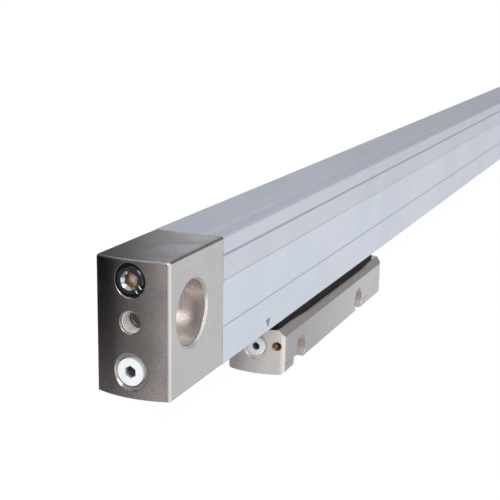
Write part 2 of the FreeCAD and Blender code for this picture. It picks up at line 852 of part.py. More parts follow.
def carrier_blade():
    """Thin blade, pointed at both ends, on a foot that lies in the block's top."""
    half = blade_thickness / 2
    point = blade_point_width / 2
    shoulder = blade_half_length - blade_point_length
    plan = [(unit_x - blade_half_length, slot_y - point, 0),
            (unit_x - shoulder, slot_y - half, 0),
            (unit_x + shoulder, slot_y - half, 0),
            (unit_x + blade_half_length, slot_y - point, 0),
            (unit_x + blade_half_length, slot_y + point, 0),
            (unit_x + shoulder, slot_y + half, 0),
            (unit_x - shoulder, slot_y + half, 0),
            (unit_x - blade_half_length, slot_y + point, 0)]
    sheet = prism_z(plan, (unit_waist_top, blade_top))
    foot = brick(span(unit_x, blade_foot_half_length), span(slot_y, blade_foot_half_width),
                 (blade_foot_low, unit_waist_top))
    body = sheet.fuse(foot)
    lead_room = brick(span(unit_x + lead_x, lead_half_width + fit_gap),
                      (slot_y - half - 1, slot_y - half + lead_thickness + fit_gap),
                      (blade_foot_low - 1, blade_top + 1))
    body = body.cut(lead_room)
    for screw_x, screw_y in blade_screw_places():
        body = body.cut(rod_z(screw_x, screw_y, (blade_foot_low - 1, unit_waist_top + 1),
                              blade_screw_radius + fit_gap))
    fork = brick(span(unit_x, pin_radius + fit_gap), span(slot_y, blade_thickness),
                 (blade_top - pin_slot_depth, blade_top + 1))
    return body.cut(fork).removeSplitter()


def blade_screw_places():
    """One screw at each side of the blade, at opposite ends of its foot."""
    for side in (-1, 1):
        yield unit_x + side * blade_screw_x, slot_y + side * blade_screw_y


def blade_screws():
    """Two small cap screws that hold the blade's foot."""
    screws = []
    for x, y in blade_screw_places():
        head = rod_z(x, y, (unit_waist_top, unit_waist_top + blade_screw_head_height),
                     blade_screw_head)
        shank = rod_z(x, y, (unit_waist_top - blade_screw_length, unit_waist_top),
                      blade_screw_radius)
        screws.append(head.fuse(shank))
    return Part.makeCompound(screws)


def flat_lead():
    """Flat flexible lead from the interface board up the blade to the light source."""
    x = span(unit_x + lead_x, lead_half_width)
    blade_y = slot_y - blade_thickness / 2
    run_z = carriage_bottom - lead_below_carriage
    board_y = front_leg_y - board_thickness
    low = board_height + interface_thickness
    high = optic_height - led_board_half_height + 1.5
    t = lead_thickness
    up_blade = brick(x, (blade_y, blade_y + t), (low, run_z))
    under = brick(x, (board_y - t, blade_y + t), (run_z - t, run_z))
    up_board = brick(x, (board_y - t, board_y), (run_z - t, high))
    return up_blade.fuse(under).fuse(up_board).removeSplitter()


def coupling_pin():
    """Pin pressed into the carriage, held lengthwise in the blade's fork."""
    return rod_z(unit_x, slot_y, (blade_top - pin_slot_depth + seat_gap, carriage_bottom + pin_hold),
                 pin_radius)


def coupling_spring():
    """Bowed leaf spring between the blade's top and the carriage."""
    x = unit_x + spring_x
    low = blade_top
    high = carriage_bottom - spring_thickness
    ends = span(x, spring_half_length)
    y = slot_y - spring_half_width
    t = V(0, 0, spring_thickness)
    left, crown, right = V(ends[0], y, low), V(x, y, high), V(ends[1], y, low)
    edges = [Part.Arc(left, crown, right).toShape(),
             Part.makeLine(right, right + t),
             Part.Arc(right + t, crown + t, left + t).toShape(),
             Part.makeLine(left + t, left)]
    return Part.Face(Part.Wire(edges)).extrude(V(0, 2 * spring_half_width, 0))


def face_roller_places():
    """Rollers on the glass's front face, turning about Z."""
    reach = carriage_half_length - upper_roller_inset
    return {"face_roller_near": (unit_x - reach, upper_roller_z),
            "face_roller_far": (unit_x + reach, upper_roller_z),
            "face_roller_low": (unit_x, lower_roller_z)}


def edge_roller_places():
    """Rollers on the glass's lower edge, turning about Y."""
    reach = carriage_half_length - edge_roller_inset
    return {"edge_roller_near": unit_x - reach,
            "edge_roller_far": unit_x + reach}


def roller_tube(start, direction, length, outer, inner):
    ring = Part.makeCylinder(outer, length, start, direction)
    return ring.cut(Part.makeCylinder(inner, length, start, direction))


def face_roller(place, length, outer, inner):
    """Ring about Z at one face roller's place."""
    start = V(place[0], face_roller_y, place[1] - length / 2)
    return roller_tube(start, UP, length, outer, inner)


def edge_roller(x, length, outer, inner):
    """Ring about Y at one edge roller's place."""
    start = V(x, glass_middle_y - length / 2, edge_roller_z)
    return roller_tube(start, ACROSS, length, outer, inner)


def roller_hubs():
    """Inner rings of the rollers, fixed on their axles."""
    face_length = roller_width + 2 * notch_side_gap
    edge_length = rear_leg_face - front_leg_face
    hubs = [face_roller(place, face_length, hub_radius, axle_radius + fit_gap)
            for place in face_roller_places().values()]
    hubs += [edge_roller(x, edge_length, hub_radius, axle_radius + fit_gap)
             for x in edge_roller_places().values()]
    return Part.makeCompound(hubs)


def face_axle_span(z):
    return span(z, roller_width / 2 + notch_side_gap + axle_overhang)


def edge_axle_span():
    return (front_leg_face - 1.5 * axle_overhang, rear_leg_face + axle_overhang)


def roller_axles():
    axles = [rod_z(x, face_roller_y, face_axle_span(z), axle_radius)
             for x, z in face_roller_places().values()]
    axles += [rod_y(x, edge_axle_span(), edge_roller_z, axle_radius)
              for x in edge_roller_places().values()]
    return Part.makeCompound(axles)


def scanning_carriage():
    """U-shaped frame that straddles the glass and carries optics and rollers."""
    x = span(unit_x, carriage_half_length)
    rear_y = rear_leg_face + rear_leg_thickness
    front_leg = brick(x, (front_leg_y, front_leg_face), (carriage_bottom, carriage_top))
    rear_leg = brick(x, (rear_leg_face, rear_y), (carriage_bottom, carriage_top))
    base = brick(x, (front_leg_y, rear_y), (carriage_bottom, carriage_base_top))
    body = front_leg.fuse(base).fuse(rear_leg)
    for tool in carriage_cuts():
        body = body.cut(tool)
    return body.removeSplitter()


def carriage_cuts():
    """Notches for the rollers, the optical bore, board seats and lightening pockets."""
    notch = roller_radius + notch_clearance
    for roller_x, roller_z in face_roller_places().values():
        yield brick(span(roller_x, notch), (face_roller_y - notch, front_leg_face),
                    span(roller_z, roller_width / 2 + notch_side_gap))
        yield rod_z(roller_x, face_roller_y, face_axle_span(roller_z), axle_radius + fit_gap)
    for roller_x in edge_roller_places().values():
        yield rod_y(roller_x, edge_axle_span(), edge_roller_z, axle_radius + fit_gap)

    rear_y = rear_leg_face + rear_leg_thickness
    yield rod_y(unit_x, (front_leg_y, front_leg_face), optic_height, optic_bore)
    reticle_y = front_leg_face - reticle_thickness + 0.1
    yield brick(span(unit_x, reticle_half_length + fit_gap), (reticle_y, front_leg_face),
                span(optic_height, reticle_half_height + fit_gap))
    yield brick(span(unit_x, sensor_half_length + fit_gap), (rear_leg_face, rear_y),
                span(optic_height, sensor_half_height + fit_gap))
    yield brick(span(unit_x, sensor_board_half_length + fit_gap),
                (rear_leg_face + sensor_thickness, rear_y),
                span(optic_height, sensor_board_half_height + fit_gap))
    yield rod_z(unit_x, slot_y, (carriage_bottom, carriage_bottom + pin_hold), pin_radius + fit_gap)
    for side in (-1, 1):
        ends = sorted(unit_x + side * place for place in carriage_pocket)
        yield brick(ends, (front_leg_y, front_leg_y + carriage_pocket_depth),
                    (carriage_base_top, carriage_top - 1.2))


def led_board():
    return brick(span(unit_x, led_board_half_length), (front_leg_y - board_thickness, front_leg_y),
                 span(optic_height, led_board_half_height))


def light_emitter():
    """Flanged light source on the board, shining along +Y."""
    flange = rod_y(unit_x, (front_leg_y, front_leg_y + emitter_flange_height), optic_height,
                   emitter_flange)
    can = rod_y(unit_x, (front_leg_y, front_leg_y + emitter_height), optic_height, emitter_radius)
    return flange.fuse(can)


def condenser_lens():
    """Plano-convex lens in the optical bore."""
    radius = optic_bore - fit_gap
    ball_radius = (radius ** 2 + lens_bulge ** 2) / (2 * lens_bulge)
    disc = rod_y(unit_x, (lens_y, lens_y + lens_thickness), optic_height, radius)
    ball = Part.makeSphere(ball_radius, V(unit_x, lens_y + ball_radius, optic_height))
    return disc.common(ball)


def scanning_reticle():
    y = front_leg_face - reticle_thickness + 0.1
    return brick(span(unit_x, reticle_half_length), (y, y + reticle_thickness),
                 span(optic_height, reticle_half_height))


def photo_sensor():
    return brick(span(unit_x, sensor_half_length),
                 (rear_leg_face, rear_leg_face + sensor_thickness),
                 span(optic_height, sensor_half_height))


def sensor_board():
    y = rear_leg_face + sensor_thickness
    return brick(span(unit_x, sensor_board_half_length), (y, y + board_thickness),
                 span(optic_height, sensor_board_half_height))


def save(name, shape):
    """Write one named piece to its own file."""
    shape.exportStep(os.path.join("parts", name + ".step"))
    print(name, "solids", len(shape.Solids), "volume", round(shape.Volume, 2), shape.isValid())


def main():
    os.makedirs("parts", exist_ok=True)
    save("housing_profile", housing_profile())
    save("glass_scale", glass_scale())
    save("scale_adhesive", scale_adhesive())
    save("front_sealing_lip", sealing_lip(-1))
    save("rear_sealing_lip", sealing_lip(1))

    end_pieces = {"end_block": end_block(),
                  "end_gasket": end_gasket(),
                  "block_screw": block_screw(),
                  "screw_seal_ring": screw_seal_ring(),
                  "air_plug": air_plug(),
                  "air_plug_ring": air_plug_ring()}
    for name, shape in end_pieces.items():
        save("near_" + name, shape)
        save("far_" + name, mirrored(shape))

    save("unit_body", unit_body())
    save("unit_bottom_cover", unit_bottom_cover())
    save("cover_screws", cover_screws())
    save("unit_top_seal", unit_top_seal())
    save("unit_air_plug", unit_plug())
    save("thread_bush", thread_bush())
    save("cable_inlet", cable_inlet())
    save("inlet_contacts", inlet_contacts())
    save("interface_board", interface_board())
    save("carrier_blade", carrier_blade())
    save("blade_screws", blade_screws())
    save("flat_lead", flat_lead())
    save("coupling_pin", coupling_pin())
    save("coupling_spring", coupling_spring())

    save("scanning_carriage", scanning_carriage())
    save("led_board", led_board())
    save("light_emitter", light_emitter())
    save("condenser_lens", condenser_lens())
    save("scanning_reticle", scanning_reticle())
    save("photo_sensor", photo_sensor())
    save("sensor_board", sensor_board())
    save("roller_axles", roller_axles())
    save("roller_hubs", roller_hubs())
    bore = hub_radius + fit_gap
    for name, place in face_roller_places().items():
        save(name, face_roller(place, roller_width, roller_radius, bore))
    for name, x in edge_roller_places().items():
        save(name, edge_roller(x, roller_width, roller_radius, bore))


main()
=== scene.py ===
import json
import math

import bmesh
import bpy
from mathutils import Matrix, Vector


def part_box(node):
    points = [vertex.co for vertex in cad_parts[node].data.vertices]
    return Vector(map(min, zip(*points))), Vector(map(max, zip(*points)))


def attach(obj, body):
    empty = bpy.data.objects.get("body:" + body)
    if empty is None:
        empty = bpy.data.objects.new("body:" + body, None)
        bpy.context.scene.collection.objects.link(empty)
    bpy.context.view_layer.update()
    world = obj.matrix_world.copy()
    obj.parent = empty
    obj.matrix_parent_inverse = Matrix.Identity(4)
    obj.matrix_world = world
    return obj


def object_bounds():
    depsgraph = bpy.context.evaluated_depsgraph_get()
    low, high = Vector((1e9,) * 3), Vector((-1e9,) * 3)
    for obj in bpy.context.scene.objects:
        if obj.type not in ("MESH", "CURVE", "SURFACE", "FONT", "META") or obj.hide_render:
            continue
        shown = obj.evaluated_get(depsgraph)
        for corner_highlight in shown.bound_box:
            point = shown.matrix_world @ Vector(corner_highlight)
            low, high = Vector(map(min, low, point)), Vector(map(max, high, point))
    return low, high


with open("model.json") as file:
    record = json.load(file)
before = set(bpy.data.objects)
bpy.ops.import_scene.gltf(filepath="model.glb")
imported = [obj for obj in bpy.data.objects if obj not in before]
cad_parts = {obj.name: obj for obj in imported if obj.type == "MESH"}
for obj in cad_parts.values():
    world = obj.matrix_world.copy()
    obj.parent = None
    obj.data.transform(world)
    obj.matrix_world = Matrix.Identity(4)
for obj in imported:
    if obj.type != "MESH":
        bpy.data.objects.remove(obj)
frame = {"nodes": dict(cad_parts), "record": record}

cad_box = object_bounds()
nodes = frame["nodes"]
mounts = {mount["name"]: mount for mount in frame["record"]["mounts"]}
MM = 0.001

# The camera stands close to the near end block and looks along the scale.
EYE = Vector((-202.96, -116.71, 69.54)) * MM
HEADING = math.radians(22.857)
PITCH = math.radians(-13.750)
ROLL = math.radians(1.018)
LENS = 77.71
SENSOR = 36.0

# Threads that the solids leave smooth. A ridge's half widths are shares of its pitch, and the
# painted shade in its roots starts a margin outside the crest.
ACCESSORY_PITCH = 0.7 * MM
ACCESSORY_CREST = 2.26 * MM
ACCESSORY_INSET = 0.06 * MM
ACCESSORY_LENGTH = 4.2 * MM
BUSH_WALL = 1.0 * MM
BUSH_PITCH = 0.45 * MM
BUSH_CREST = 0.80 * MM
BUSH_INSET = 0.1 * MM
BUSH_LENGTH = 3.8 * MM
RIDGE_FOOT = 0.44
RIDGE_TOP = 0.10
RIDGE_START = 0.3
STEPS_PER_TURN = 40
ROOT_SHADE_MARGIN = 0.17 * MM

# Triangle that is printed on the housing's side.
MARK_X = 44.2 * MM
MARK_TOP = -13.7 * MM
MARK_TIP = -16.1 * MM
MARK_HALF_WIDTH = 1.5 * MM
MARK_PROUD = 0.02 * MM

# Places on the end blocks: the bores, the pale band of painted highlight round their mouths, the
# tapped holes, and the conical recess of painted shade round the air plug.
BORE_INSET = 12.0 * MM
COUNTERBORE_RADIUS = 7.45 * MM
RIM_WIDTH = 0.45 * MM
TAPPED_DEPTH = 5.3 * MM
TAPPED_MARGIN = 0.04 * MM
CONE_SHADE_RADIUS = 4.5 * MM

# Places on the scanning unit: strips of its end faces in painted shade, and the fade of painted
# shade along its side.
OUTER_STRIP = 5 * MM
INNER_STRIP = 7 * MM
SIDE_SHADE_FADE = 5 * MM, 80 * MM

# Lines of painted shade along the housing's front grooves, as height and strength, and the field
# below one of them.
GROOVE_SHADE_LINES = ((9.3 * MM, 0.5), (3.3 * MM, 0.8), (-7.9 * MM, 0.35))
GROOVE_FADE = 0.22 * MM, 0.08 * MM
FIELD_FADE = 3.4 * MM, 3.2 * MM

# Screws and their heads, by radius and by depth behind the face. A pair of depths is where a
# fade starts and where it ends. The socket's painted shade goes by height about the head's
# middle.
SCREWS = (("near_block_screw", 1), ("far_block_screw", -1))
RING_RADIUS = 2.93 * MM
DISH_RADIUS = 2.2 * MM
PIT_RADIUS = 1.15 * MM
HEAD_BACK = 3.2 * MM, 3.1 * MM
DISH_TOP = 0.02 * MM, 0.06 * MM
SOCKET_TOP = 0.66 * MM, 0.8 * MM
SOCKET_FLOOR = 2.45 * MM, 2.55 * MM
SOCKET_SHADE = -0.5 * MM, 0.7 * MM

# Painted highlight strokes on a screw head's ring: places across and up, in mm, and turns in
# degrees.
GLINT_STROKES = ((-1.75, -2.35, 26), (-2.5, -1.2, 33))
GLINT_WIDTH_FADE = 0.16 * MM, 0.10 * MM
GLINT_LENGTH_FADE = 0.55 * MM, 0.45 * MM

# Plugs: the way inward along X, the radius of the hex socket's shade, and its depths.
PLUG_SOCKETS = (("near_air_plug", 1, 1.47 * MM), ("far_air_plug", -1, 1.47 * MM),
                ("unit_air_plug", 1, 1.18 * MM))
PLUG_BRIM = 0.03 * MM, 0.08 * MM
PLUG_SHADE = 0.10 * MM, 1.2 * MM
PLUG_FLOOR = 2.6 * MM, 2.5 * MM

# Scales of the two wave patterns: rings of painted shade on a tapped hole's floor, and the
# glass's graduation.
DEPTH_SHADE_RINGS = 640.0
GRADUATION = 1500.0

# Soft border of a round mask.
MASK_FADE = 0.08 * MM
WHITE = (1.0, 1.0, 1.0, 1.0)


# Shader helpers.

def add(tree, kind, inputs=None, **settings):
    """One shader node. inputs maps socket names or numbers to constants or outputs."""
    made = tree.nodes.new(kind)
    for key, value in settings.items():
        setattr(made, key, value)
    for key, value in (inputs or {}).items():
        if isinstance(value, bpy.types.NodeSocket):
            tree.links.new(value, made.inputs[key])
        else:
            made.inputs[key].default_value = value
    return made


def math_node(tree, operation, *values, clamp=False):
    return add(tree, "ShaderNodeMath", dict(enumerate(values)), operation=operation,
               use_clamp=clamp).outputs[0]


def times(tree, first, *others):
    for other in others:
        first = math_node(tree, "MULTIPLY", first, other)
    return first


def weighted(tree, first, first_share, second, second_share):
    return math_node(tree, "ADD", times(tree, first, first_share),
                     times(tree, second, second_share))


def any_of(tree, first, *others):
    """Sum of masks, held at 1."""
    for other in others:
        first = math_node(tree, "ADD", first, other, clamp=True)
    return first


def without(tree, mask, covered, *others):
    """A mask less the places of the other masks."""
    for other in others:
        covered = math_node(tree, "MAXIMUM", covered, other)
    return math_node(tree, "SUBTRACT", mask, covered, clamp=True)


def rescale(tree, value, low, high, out_low=0.0, out_high=1.0, smooth=False):
    """The value brought from low..high to out_low..out_high, and held there."""
    return add(tree, "ShaderNodeMapRange",
               {"Value": value, "From Min": low, "From Max": high,
                "To Min": out_low, "To Max": out_high},
               interpolation_type="SMOOTHSTEP" if smooth else "LINEAR").outputs["Result"]


def blend_values(tree, factor, first, second):
    """Sockets 2 and 3 of a Mix node are its two numbers."""
    return add(tree, "ShaderNodeMix", {0: factor, 2: first, 3: second},
               data_type="FLOAT").outputs[0]


def blend_colours(tree, factor, first, second, way="MIX"):
    """Sockets 6 and 7 of a Mix node are its two colours."""
    return add(tree, "ShaderNodeMix", {0: factor, 6: first, 7: second},
               data_type="RGBA", blend_type=way).outputs[2]


def tint(tree, factor, colour, multiplier):
    """The colour times a multiplier, where the mask is 1."""
    return blend_colours(tree, factor, colour, multiplier, way="MULTIPLY")


def rgb(*levels):
    return (*levels, 1.0)


def grey(value, warmth=0.0):
    return rgb(value * (1 + warmth), value, value * (1 - warmth))


# Effects that several finishes share.

def new_group(name, value_name, value, outputs):
    """Node group with one number as its input, and outputs {name: type}."""
    group = bpy.data.node_groups.new(name, "ShaderNodeTree")
    group.interface.new_socket(value_name, in_out="INPUT",
                               socket_type="NodeSocketFloat").default_value = value
    for label, kind in outputs.items():
        group.interface.new_socket(label, in_out="OUTPUT", socket_type="NodeSocket" + kind)
    start = group.nodes.new("NodeGroupInput")
    end = group.nodes.new("NodeGroupOutput")
    return group, start.outputs[0], end.inputs


def object_place(tree):
    return add(tree, "ShaderNodeTexCoord").outputs["Object"]


def object_axes(tree):
    return add(tree, "ShaderNodeSeparateXYZ", {0: object_place(tree)}).outputs


def stretched_place(tree, stretch):
    return add(tree, "ShaderNodeMapping",
               {"Vector": object_place(tree), "Scale": stretch}).outputs[0]


def blasted_grain_group():
    """Fine matt grain of a bead-blasted surface: a height and a 0..1 fleck value."""
    group, per_mm, ends = new_group("blasted_grain", "Grain per mm", 4.0,
                                    {"Height": "Float", "Fleck": "Float"})
    grain = add(group, "ShaderNodeTexNoise",
                {"Vector": object_place(group), "Scale": times(group, per_mm, 1 / MM),
                 "Detail": 3.0, "Roughness": 0.7})
    group.links.new(grain.outputs[0], ends["Height"])
    group.links.new(rescale(group, grain.outputs[0], 0.35, 0.65), ends["Fleck"])
    return group


def drawn_lines_group():
    """Faint lines along X that a die or a grinding wheel leaves."""
    group, per_mm, ends = new_group("drawn_lines", "Lines per mm", 3.0,
                                    {"Height": "Float", "Streak": "Float"})
    place = stretched_place(group, (12.0, 1000.0, 1000.0))
    lines = add(group, "ShaderNodeTexNoise",
                {"Vector": place, "Scale": per_mm, "Detail": 4.0, "Roughness": 0.65})
    group.links.new(lines.outputs[0], ends["Height"])
    group.links.new(rescale(group, lines.outputs[0], 0.3, 0.7), ends["Streak"])
    return group


def handling_marks_group():
    """Large soft patches where a surface was touched or wiped."""
    group, per_mm, ends = new_group("handling_marks", "Patches per mm", 0.12,
                                    {"Patch": "Float"})
    patches = add(group, "ShaderNodeTexNoise",
                  {"Vector": object_place(group), "Scale": times(group, per_mm, 1 / MM),
                   "Detail": 2.0, "Distortion": 0.6})
    group.links.new(rescale(group, patches.outputs[0], 0.35, 0.65, smooth=True), ends["Patch"])
    return group


def bright_edges_group():
    """Softened normal of broken edges, and a mask of where those edges are."""
    group, edge_mm, ends = new_group("bright_edges", "Edge radius mm", 0.2,
                                     {"Normal": "Vector", "Edge": "Float"})
    soft = add(group, "ShaderNodeBevel", {"Radius": times(group, edge_mm, MM)},
               samples=6).outputs[0]
    plain = add(group, "ShaderNodeNewGeometry").outputs["Normal"]
    agreement = add(group, "ShaderNodeVectorMath", {0: soft, 1: plain}, operation="DOT_PRODUCT")
    group.links.new(soft, ends["Normal"])
    group.links.new(rescale(group, agreement.outputs["Value"], 0.995, 0.80), ends["Edge"])
    return group


GRAIN = blasted_grain_group()
LINES = drawn_lines_group()
MARKS = handling_marks_group()
EDGES = bright_edges_group()


def use(tree, group, value):
    """Outputs of a shared effect, at its own scale per mm or radius in mm."""
    made = add(tree, "ShaderNodeGroup", node_tree=group)
    made.inputs[0].default_value = value
    return made.outputs


# Masks of places.

def beside_axis(tree, along, middle, radius):
    """Mask of the places within a radius of the axis through middle; along is its letter."""
    axes = object_axes(tree)
    offsets = [math_node(tree, "SUBTRACT", axes[letter], centre)
               for letter, centre in zip("XYZ", middle) if letter != along]
    squares = [times(tree, offset, offset) for offset in offsets]
    reach = math_node(tree, "SQRT", math_node(tree, "ADD", *squares))
    return rescale(tree, reach, radius, radius - MASK_FADE)


def behind_face(tree, node, inward):
    """Depth behind a piece's outer end face; inward is +1 or -1 along X."""
    low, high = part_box(node)
    face_x = low.x if inward > 0 else high.x
    return times(tree, math_node(tree, "SUBTRACT", object_axes(tree)["X"], face_x), inward)


def facing(tree, way, low, high):
    """Mask of the surfaces that face a direction, from cosine low (0) to cosine high (1)."""
    normal = add(tree, "ShaderNodeNewGeometry").outputs["Normal"]
    cosine = add(tree, "ShaderNodeVectorMath", {0: normal, 1: way}, operation="DOT_PRODUCT")
    return rescale(tree, cosine.outputs["Value"], low, high)


def facing_ends(tree, across, low, high):
    """Like facing, for the direction (-1, across, 0) and its mirror image at the far end."""
    ways = [Vector((side, across, 0)).normalized()[:] for side in (-1, 1)]
    return math_node(tree, "MAXIMUM", *(facing(tree, way, low, high) for way in ways))


def middle_of(node):
    low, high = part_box(node)
    return (low + high) / 2


# Finishes.

def new_finish(name):
    material = bpy.data.materials.new(name)
    material.use_nodes = True
    tree = material.node_tree
    tree.nodes.clear()
    shader = add(tree, "ShaderNodeBsdfPrincipled")
    add(tree, "ShaderNodeOutputMaterial", {"Surface": shader.outputs[0]})
    return material, tree, shader


def opened(material):
    """A finish's node tree, its shader and the output that gives its base colour."""
    shader = material.node_tree.nodes["Principled BSDF"]
    return material.node_tree, shader, shader.inputs["Base Color"].links[0].from_socket


def set_colour(shader, colour):
    shader.id_data.links.new(colour, shader.inputs["Base Color"])


def set_gloss(shader, roughness):
    shader.id_data.links.new(roughness, shader.inputs["Roughness"])


def set_bump(tree, shader, height, depth_mm, **normal):
    bump = add(tree, "ShaderNodeBump",
               {"Height": height, "Distance": depth_mm * MM, "Strength": 1.0, **normal})
    tree.links.new(bump.outputs[0], shader.inputs["Normal"])


def grained(name, dark, light, rough, grain_per_mm, grain_depth, fleck_share, patches, edge_mm):
    """Two tones in fine grain and soft patches. rough is for the dark and the light tone."""
    material, tree, shader = new_finish(name)
    grain = use(tree, GRAIN, grain_per_mm)
    marks = use(tree, MARKS, patches)
    edges = use(tree, EDGES, edge_mm)
    tone = weighted(tree, grain["Fleck"], fleck_share, marks["Patch"], 1 - fleck_share)
    set_colour(shader, blend_colours(tree, tone, dark, light))
    set_gloss(shader, rescale(tree, tone, 0.0, 1.0, *rough))
    set_bump(tree, shader, grain["Height"], grain_depth, Normal=edges["Normal"])
    return material, edges["Edge"]


def metal(name, dark, light, rough, grain_per_mm, grain_depth, edge_highlight=0.10):
    """Solid metal with a blasted grain and painted highlight on its edges."""
    material, edge = grained(name, dark, light, rough, grain_per_mm, grain_depth,
                             fleck_share=0.6, patches=0.12, edge_mm=0.2)
    tree, shader, colour = opened(material)
    # Painted highlight: broken edges take a lighter tone.
    bright = rgb(*(min(1.0, level + edge_highlight) for level in light[:3]))
    set_colour(shader, blend_colours(tree, edge, colour, bright))
    shader.inputs["Metallic"].default_value = 1.0
    return material


def moulded(name, dark, light, rough, grain_per_mm, grain_depth):
    """Plastic, rubber, resin: not a metal, with a fine moulded grain."""
    return grained(name, dark, light, rough, grain_per_mm, grain_depth,
                   fleck_share=0.5, patches=0.15, edge_mm=0.1)[0]


def depth_shade_rings(tree, middle):
    """Rings of painted shade on the floor of a tapped hole, standing for the thread going deeper.
    """
    moved = add(tree, "ShaderNodeMapping",
                {"Vector": object_place(tree), "Location": (0.0, -middle.y, -middle.z)})
    waves = add(tree, "ShaderNodeTexWave", {"Vector": moved.outputs[0], "Scale": DEPTH_SHADE_RINGS},
                wave_type="RINGS", rings_direction="X")
    return rescale(tree, waves.outputs["Fac"], 0.55, 0.85)


def nickel_plate():
    """Satin nickel: a blasted end, ground sides, warm bores and tapped holes. Painted shade
    darkens the bores' downward walls, the tapped floors, the conical recess round the plug and
    the upward faces; painted highlight lightens the bores' mouths and the front corners.
    """
    material = metal("nickel_plate", rgb(0.50, 0.48, 0.475), rgb(0.84, 0.815, 0.805),
                     (0.24, 0.16), 2.4, 0.007, edge_highlight=0.12)
    tree, shader, colour = opened(material)
    thread = mounts["near_accessory_thread"]
    thread_middle = Vector(thread["pos_m"])
    near_face, far_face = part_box("near_end_block")[0].x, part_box("far_end_block")[1].x
    bore_middles = [(x, 0.0, 0.0) for x in (near_face + BORE_INSET, far_face - BORE_INSET)]

    ground = facing(tree, (0, -1, 0), 0.93, 0.99)
    rear = facing(tree, (0, 1, 0), 0.90, 0.98)
    top_shade = facing(tree, (0, 0, 1), 0.80, 0.90)
    ceiling_shade = facing(tree, (0, 0, -1), 0.0, 0.75)
    end = facing_ends(tree, 0, 0.80, 0.90)
    tapped_floor = facing_ends(tree, 0, 0.90, 0.97)
    corner_highlight = facing_ends(tree, -1, 0.90, 0.97)
    depth = math_node(tree, "MINIMUM", behind_face(tree, "near_end_block", 1),
                      behind_face(tree, "far_end_block", -1))
    tapped = times(tree, rescale(tree, depth, TAPPED_DEPTH + 0.1 * MM, TAPPED_DEPTH),
                   beside_axis(tree, "X", thread_middle,
                               thread["dims"]["r_mm"] * MM + TAPPED_MARGIN))
    bores, around = (any_of(tree, *(beside_axis(tree, "Y", middle, radius)
                                    for middle in bore_middles))
                     for radius in (COUNTERBORE_RADIUS, COUNTERBORE_RADIUS + RIM_WIDTH))
    bore = without(tree, bores, tapped, rear)
    rim_highlight = without(tree, around, bore, rear, tapped, ground)
    cone_middle = Vector((0.0, thread_middle.y, middle_of("near_air_plug").z))
    cone_shade = beside_axis(tree, "X", cone_middle, CONE_SHADE_RADIUS)

    haze = use(tree, GRAIN, 0.9)["Fleck"]
    colour = tint(tree, end, colour,
                  blend_colours(tree, haze, rgb(1.0, 0.93, 0.90), rgb(0.92, 0.95, 1.0)))
    smooth = blend_colours(tree, use(tree, LINES, 1.2)["Streak"], rgb(0.70, 0.69, 0.69),
                           rgb(0.745, 0.735, 0.74))
    colour = blend_colours(tree, times(tree, ground, 0.8), colour, smooth)
    colour = tint(tree, end, colour, rgb(1.07, 1.0, 0.985))
    # Painted shade: upward faces a little darker and cooler.
    colour = tint(tree, top_shade, colour, rgb(0.95, 0.965, 1.05))
    # Painted highlight on the rounded front corners.
    colour = blend_colours(tree, corner_highlight, colour, rgb(0.97, 0.93, 0.925))
    # Painted shade: bore walls that face down turn dark brown.
    warm = blend_colours(tree, ceiling_shade, rgb(0.82, 0.74, 0.70), rgb(0.17, 0.105, 0.08))
    colour = blend_colours(tree, bore, colour, warm)
    # Painted shade in the conical recess round the air plug.
    colour = tint(tree, cone_shade, colour, rgb(0.86, 0.84, 0.84))
    # Painted shade: dark rings on each tapped floor stand for the thread going deeper.
    rings = blend_colours(tree, depth_shade_rings(tree, thread_middle), rgb(0.10, 0.06, 0.045),
                          rgb(0.62, 0.56, 0.53))
    drilled = blend_colours(tree, tapped_floor, rgb(0.92, 0.89, 0.88), rings)
    colour = blend_colours(tree, tapped, colour, drilled)
    # Painted highlight: a pale band round each bore's mouth.
    set_colour(shader, blend_colours(tree, rim_highlight, colour, rgb(0.97, 0.965, 0.96)))

    dull = any_of(tree, times(tree, bore, 0.12), times(tree, rim_highlight, 0.3), times(tree, tapped, 0.6))
    tree.links.new(math_node(tree, "SUBTRACT", 1.0, dull), shader.inputs["Metallic"])
    gloss = shader.inputs["Roughness"].links[0].from_socket
    set_gloss(shader, math_node(tree, "ADD", gloss, times(tree, bore, 0.12)))
    bump = shader.inputs["Normal"].links[0].from_node
    tree.links.new(rescale(tree, ground, 0.0, 1.0, 1.0, 0.25), bump.inputs["Strength"])
    return material


def satin_plate():
    """Matt nickel of the scanning unit: paler and duller than the end blocks. Painted shade
    darkens strips of its end faces, its upper chamfer and its side, most near the near end.
    """
    material = metal("satin_plate", rgb(0.88, 0.82, 0.80), rgb(0.95, 0.895, 0.875),
                     (0.34, 0.26), 4.0, 0.004, edge_highlight=0.12)
    tree, shader, colour = opened(material)
    shader.inputs["Metallic"].default_value = 0.6
    low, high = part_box("unit_body")
    side = facing(tree, (0, -1, 0), 0.90, 0.98)
    slope_shade = facing(tree, (0, -0.78, 0.625), 0.93, 0.99)
    end = facing_ends(tree, 0, 0.90, 0.98)
    axes = object_axes(tree)
    outer = rescale(tree, axes["Y"], low.y + OUTER_STRIP, low.y, smooth=True)
    inner = rescale(tree, axes["Y"], high.y - INNER_STRIP, high.y, smooth=True)
    side_shade_fade = rescale(tree, axes["X"], low.x + SIDE_SHADE_FADE[0], low.x + SIDE_SHADE_FADE[1], smooth=True)
    # Painted shade: the side is darker and bluer, most near the near end.
    level = blend_colours(tree, side_shade_fade, rgb(0.50, 0.53, 0.57), rgb(0.71, 0.755, 0.785))
    # Painted shade on strips of the end faces.
    colour = tint(tree, times(tree, end, outer), colour, rgb(0.76, 0.72, 0.715))
    colour = tint(tree, times(tree, end, inner), colour, rgb(0.66, 0.62, 0.62))
    colour = tint(tree, side, colour, level)
    # Painted shade on the upper chamfer under the housing.
    set_colour(shader, tint(tree, slope_shade, colour, rgb(0.58, 0.56, 0.57)))
    return material


